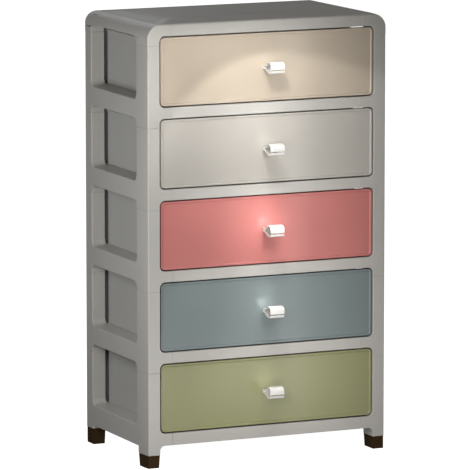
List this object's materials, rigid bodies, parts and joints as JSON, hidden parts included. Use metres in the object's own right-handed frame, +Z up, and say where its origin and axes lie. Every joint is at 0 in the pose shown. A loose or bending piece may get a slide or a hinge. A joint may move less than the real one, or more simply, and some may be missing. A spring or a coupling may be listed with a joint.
{
  "type": "plastic drawer tower",
  "caption": "Free-standing tower of stacked open side frames with sliding drawers in mixed colours, looped handles, a crowned top and short legs.",
  "frame": {"origin": "on the floor, under the centre of the whole part's box with the drawers closed", "axes": "+Z up, +Y to the back of the cabinet, +X to its right seen from the front; the drawers slide out along -Y"},
  "size_m": [0.604, 0.4162, 1.0245],
  "materials": {
    "frame": "satin warm grey",
    "back": "matt dark grey",
    "drawer_box": "satin grey",
    "foot": "satin dark brown",
    "handle": "glossy white",
    "steel": "zinc plated",
    "front_1": "semi-gloss cream",
    "front_2": "semi-gloss light greige",
    "front_3": "semi-gloss coral red",
    "front_4": "semi-gloss blue grey",
    "front_5": "semi-gloss olive green"
  },
  "bodies": {
    "cabinet": {"top_cover": "frame", "top_frame": "frame", "top_cap_left": "frame", "top_cap_right": "frame", "side_frame_left_1": "frame", "side_frame_left_2": "frame", "side_frame_left_3": "frame", "side_frame_left_4": "frame", "side_frame_left_5": "frame", "side_frame_right_1": "frame", "side_frame_right_2": "frame", "side_frame_right_3": "frame", "side_frame_right_4": "frame", "side_frame_right_5": "frame", "shelf_1": "frame", "shelf_2": "frame", "shelf_3": "frame", "shelf_4": "frame", "base_frame": "frame", "back_panel_1": "back", "back_panel_2": "back", "back_panel_3": "back", "back_panel_4": "back", "back_panel_5": "back", "stacking_pins": "steel", "foot_front_left": "foot", "foot_front_right": "foot", "foot_rear_left": "foot", "foot_rear_right": "foot"},
    "drawer_1": {"drawer_front_1": "front_1", "drawer_box_1": "drawer_box", "handle_1": "handle", "handle_screws_1": "steel"},
    "drawer_2": {"drawer_front_2": "front_2", "drawer_box_2": "drawer_box", "handle_2": "handle", "handle_screws_2": "steel"},
    "drawer_3": {"drawer_front_3": "front_3", "drawer_box_3": "drawer_box", "handle_3": "handle", "handle_screws_3": "steel"},
    "drawer_4": {"drawer_front_4": "front_4", "drawer_box_4": "drawer_box", "handle_4": "handle", "handle_screws_4": "steel"},
    "drawer_5": {"drawer_front_5": "front_5", "drawer_box_5": "drawer_box", "handle_5": "handle", "handle_screws_5": "steel"}
  },
  "joints": [
    {"name": "drawer_1_slide", "type": "slide", "parent": "cabinet", "child": "drawer_1", "axis": [0, -1, 0], "range_m": [0, 0.23]},
    {"name": "drawer_2_slide", "type": "slide", "parent": "cabinet", "child": "drawer_2", "axis": [0, -1, 0], "range_m": [0, 0.23]},
    {"name": "drawer_3_slide", "type": "slide", "parent": "cabinet", "child": "drawer_3", "axis": [0, -1, 0], "range_m": [0, 0.23]},
    {"name": "drawer_4_slide", "type": "slide", "parent": "cabinet", "child": "drawer_4", "axis": [0, -1, 0], "range_m": [0, 0.23]},
    {"name": "drawer_5_slide", "type": "slide", "parent": "cabinet", "child": "drawer_5", "axis": [0, -1, 0], "range_m": [0, 0.23]}
  ]
}
